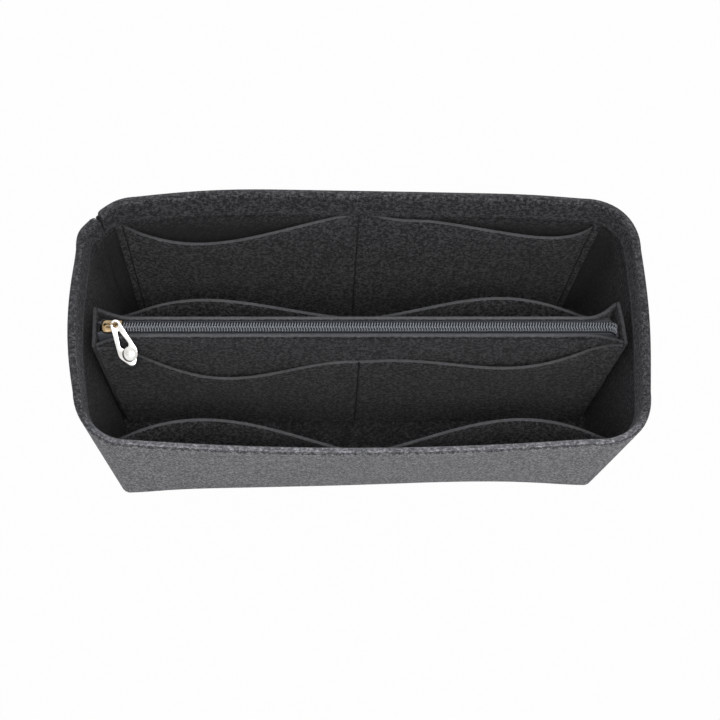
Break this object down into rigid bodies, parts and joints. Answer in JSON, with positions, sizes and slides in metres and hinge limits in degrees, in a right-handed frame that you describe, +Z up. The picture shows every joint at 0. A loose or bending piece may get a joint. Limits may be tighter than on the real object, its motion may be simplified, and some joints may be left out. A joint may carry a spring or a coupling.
{
  "type": "purse organizer insert",
  "caption": "Felt bag insert: an open box with a folded rim, scooped pockets along its long walls and a zipped pouch standing across the middle.",
  "frame": {"origin": "centre of the base, on the surface that the insert stands on", "axes": "+X along the length to the right, +Y from the front wall to the back wall, +Z up"},
  "size_m": [0.2998, 0.1428, 0.1599],
  "materials": {
    "felt": "heathered charcoal felt, soft and matt",
    "zip_tape": "woven charcoal tape",
    "zip_thread": "dark sewing thread",
    "zip_coil": "satin grey coil",
    "slider_metal": "polished pale gold",
    "pull_metal": "polished bright metal"
  },
  "bodies": {
    "organizer": {"outer_wall": "felt", "base_panel": "felt", "back_pocket": "felt", "front_pocket": "felt", "pouch_front_panel": "felt", "pouch_rear_panel": "felt", "pouch_left_gusset": "felt", "pouch_right_gusset": "felt", "pouch_floor": "felt", "pouch_front_pocket": "felt", "pouch_rear_pocket": "felt", "zip_tape_front": "zip_tape", "zip_tape_rear": "zip_tape", "left_bar_tack": "zip_thread", "right_bar_tack": "zip_thread", "zip_coil_front": "zip_coil", "zip_coil_rear": "zip_coil"},
    "slider": {"zip_slider": "slider_metal"},
    "pull": {"zip_pull": "pull_metal"}
  },
  "joints": [
    {"name": "zip_slide", "type": "slide", "parent": "organizer", "child": "slider", "axis": [1, 0, 0], "range_m": [0, 0.255], "deforming": ["zip_coil_front", "zip_coil_rear", "zip_tape_front", "zip_tape_rear"]},
    {"name": "pull_swing", "type": "hinge", "parent": "slider", "child": "pull", "pos_m": [-0.12855, 0.0018, 0.14444], "axis": [0, -0.309, 0.9511], "range_deg": [-28, 128]}
  ]
}
